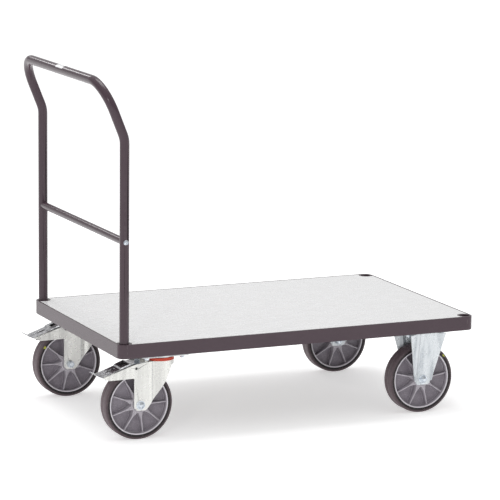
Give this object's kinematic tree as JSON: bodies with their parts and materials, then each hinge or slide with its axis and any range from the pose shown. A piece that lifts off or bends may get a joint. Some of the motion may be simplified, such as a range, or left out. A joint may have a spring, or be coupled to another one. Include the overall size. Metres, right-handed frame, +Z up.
{
  "type": "platform cart",
  "caption": "Platform cart: pale board in a dark steel frame, bent-tube push handle, braked swivel casters at the handle end and fixed casters in front.",
  "frame": {"origin": "on the floor under the middle of the whole cart's box", "axes": "+X forward, away from the push handle; +Y to the left; +Z up"},
  "size_m": [1.1546, 0.69, 1.0177],
  "materials": {
    "frame_paint": "satin powder coat",
    "board_laminate": "pale laminate on wood board",
    "label_foil": "blank foil",
    "seal_red": "moulded",
    "rim_grey": "moulded",
    "tyre_grey": "smooth solid rubber",
    "shoe_rubber": "moulded",
    "pedal_steel": "bright zinc",
    "galvanised": "pressed galvanised sheet",
    "black_steel": "black oxide",
    "zinc_fixings": "zinc plated"
  },
  "bodies": {
    "platform": {"axle_nuts_front": "zinc_fixings", "axles_front": "zinc_fixings", "caster_bolts": "zinc_fixings", "caster_nuts": "zinc_fixings", "corner_socket_front_left": "frame_paint", "corner_socket_front_right": "frame_paint", "corner_socket_rear_left": "frame_paint", "corner_socket_rear_right": "frame_paint", "cross_beam_front": "frame_paint", "cross_beam_rear": "frame_paint", "cross_tube": "frame_paint", "cross_tube_plugs": "zinc_fixings", "cross_tube_screws": "zinc_fixings", "deck_board": "board_laminate", "deck_screws": "zinc_fixings", "end_rail_front": "frame_paint", "end_rail_rear": "frame_paint", "fixed_bracket_left": "galvanised", "fixed_bracket_right": "galvanised", "handle_label": "label_foil", "king_bolts": "zinc_fixings", "push_handle": "frame_paint", "side_rail_left": "frame_paint", "side_rail_right": "frame_paint", "spacers_front": "zinc_fixings", "swivel_top_plate_left": "galvanised", "swivel_top_plate_right": "galvanised"},
    "swivel_right": {"swivel_fork_right": "galvanised", "dust_seal_right": "seal_red", "swivel_balls_right": "zinc_fixings", "axle_rear_right": "zinc_fixings", "axle_nut_rear_right": "zinc_fixings", "spacers_rear_right": "zinc_fixings", "pedal_pin_right": "black_steel"},
    "pedal_right": {"brake_pedal_right": "pedal_steel", "brake_shoe_right": "shoe_rubber", "brake_adjuster_right": "zinc_fixings"},
    "wheel_rear_right": {"rim_rear_right": "rim_grey", "tyre_rear_right": "tyre_grey", "bearings_rear_right": "zinc_fixings"},
    "swivel_left": {"swivel_fork_left": "galvanised", "dust_seal_left": "seal_red", "swivel_balls_left": "zinc_fixings", "axle_rear_left": "zinc_fixings", "axle_nut_rear_left": "zinc_fixings", "spacers_rear_left": "zinc_fixings", "pedal_pin_left": "black_steel"},
    "pedal_left": {"brake_pedal_left": "pedal_steel", "brake_shoe_left": "shoe_rubber", "brake_adjuster_left": "zinc_fixings"},
    "wheel_rear_left": {"rim_rear_left": "rim_grey", "tyre_rear_left": "tyre_grey", "bearings_rear_left": "zinc_fixings"},
    "wheel_front_right": {"rim_front_right": "rim_grey", "tyre_front_right": "tyre_grey", "bearings_front_right": "zinc_fixings"},
    "wheel_front_left": {"rim_front_left": "rim_grey", "tyre_front_left": "tyre_grey", "bearings_front_left": "zinc_fixings"}
  },
  "joints": [
    {"name": "swivel_right_turn", "type": "hinge", "parent": "platform", "child": "swivel_right", "pos_m": [-0.37867, -0.278, 0.215], "axis": [0, 0, 1], "continuous": true},
    {"name": "wheel_rear_right_spin", "type": "hinge", "parent": "swivel_right", "child": "wheel_rear_right", "pos_m": [-0.44667, -0.278, 0.1], "axis": [0, 1, 0], "continuous": true},
    {"name": "pedal_right_press", "type": "hinge", "parent": "swivel_right", "child": "pedal_right", "pos_m": [-0.45917, -0.278, 0.205], "axis": [0, -1, 0], "range_deg": [0, 8.5]},
    {"name": "swivel_left_turn", "type": "hinge", "parent": "platform", "child": "swivel_left", "pos_m": [-0.37867, 0.278, 0.215], "axis": [0, 0, 1], "continuous": true},
    {"name": "wheel_rear_left_spin", "type": "hinge", "parent": "swivel_left", "child": "wheel_rear_left", "pos_m": [-0.44667, 0.278, 0.1], "axis": [0, 1, 0], "continuous": true},
    {"name": "pedal_left_press", "type": "hinge", "parent": "swivel_left", "child": "pedal_left", "pos_m": [-0.45917, 0.278, 0.205], "axis": [0, -1, 0], "range_deg": [0, 8.5]},
    {"name": "wheel_front_right_spin", "type": "hinge", "parent": "platform", "child": "wheel_front_right", "pos_m": [0.43083, -0.282, 0.1], "axis": [0, 1, 0], "continuous": true},
    {"name": "wheel_front_left_spin", "type": "hinge", "parent": "platform", "child": "wheel_front_left", "pos_m": [0.43083, 0.282, 0.1], "axis": [0, 1, 0], "continuous": true}
  ]
}
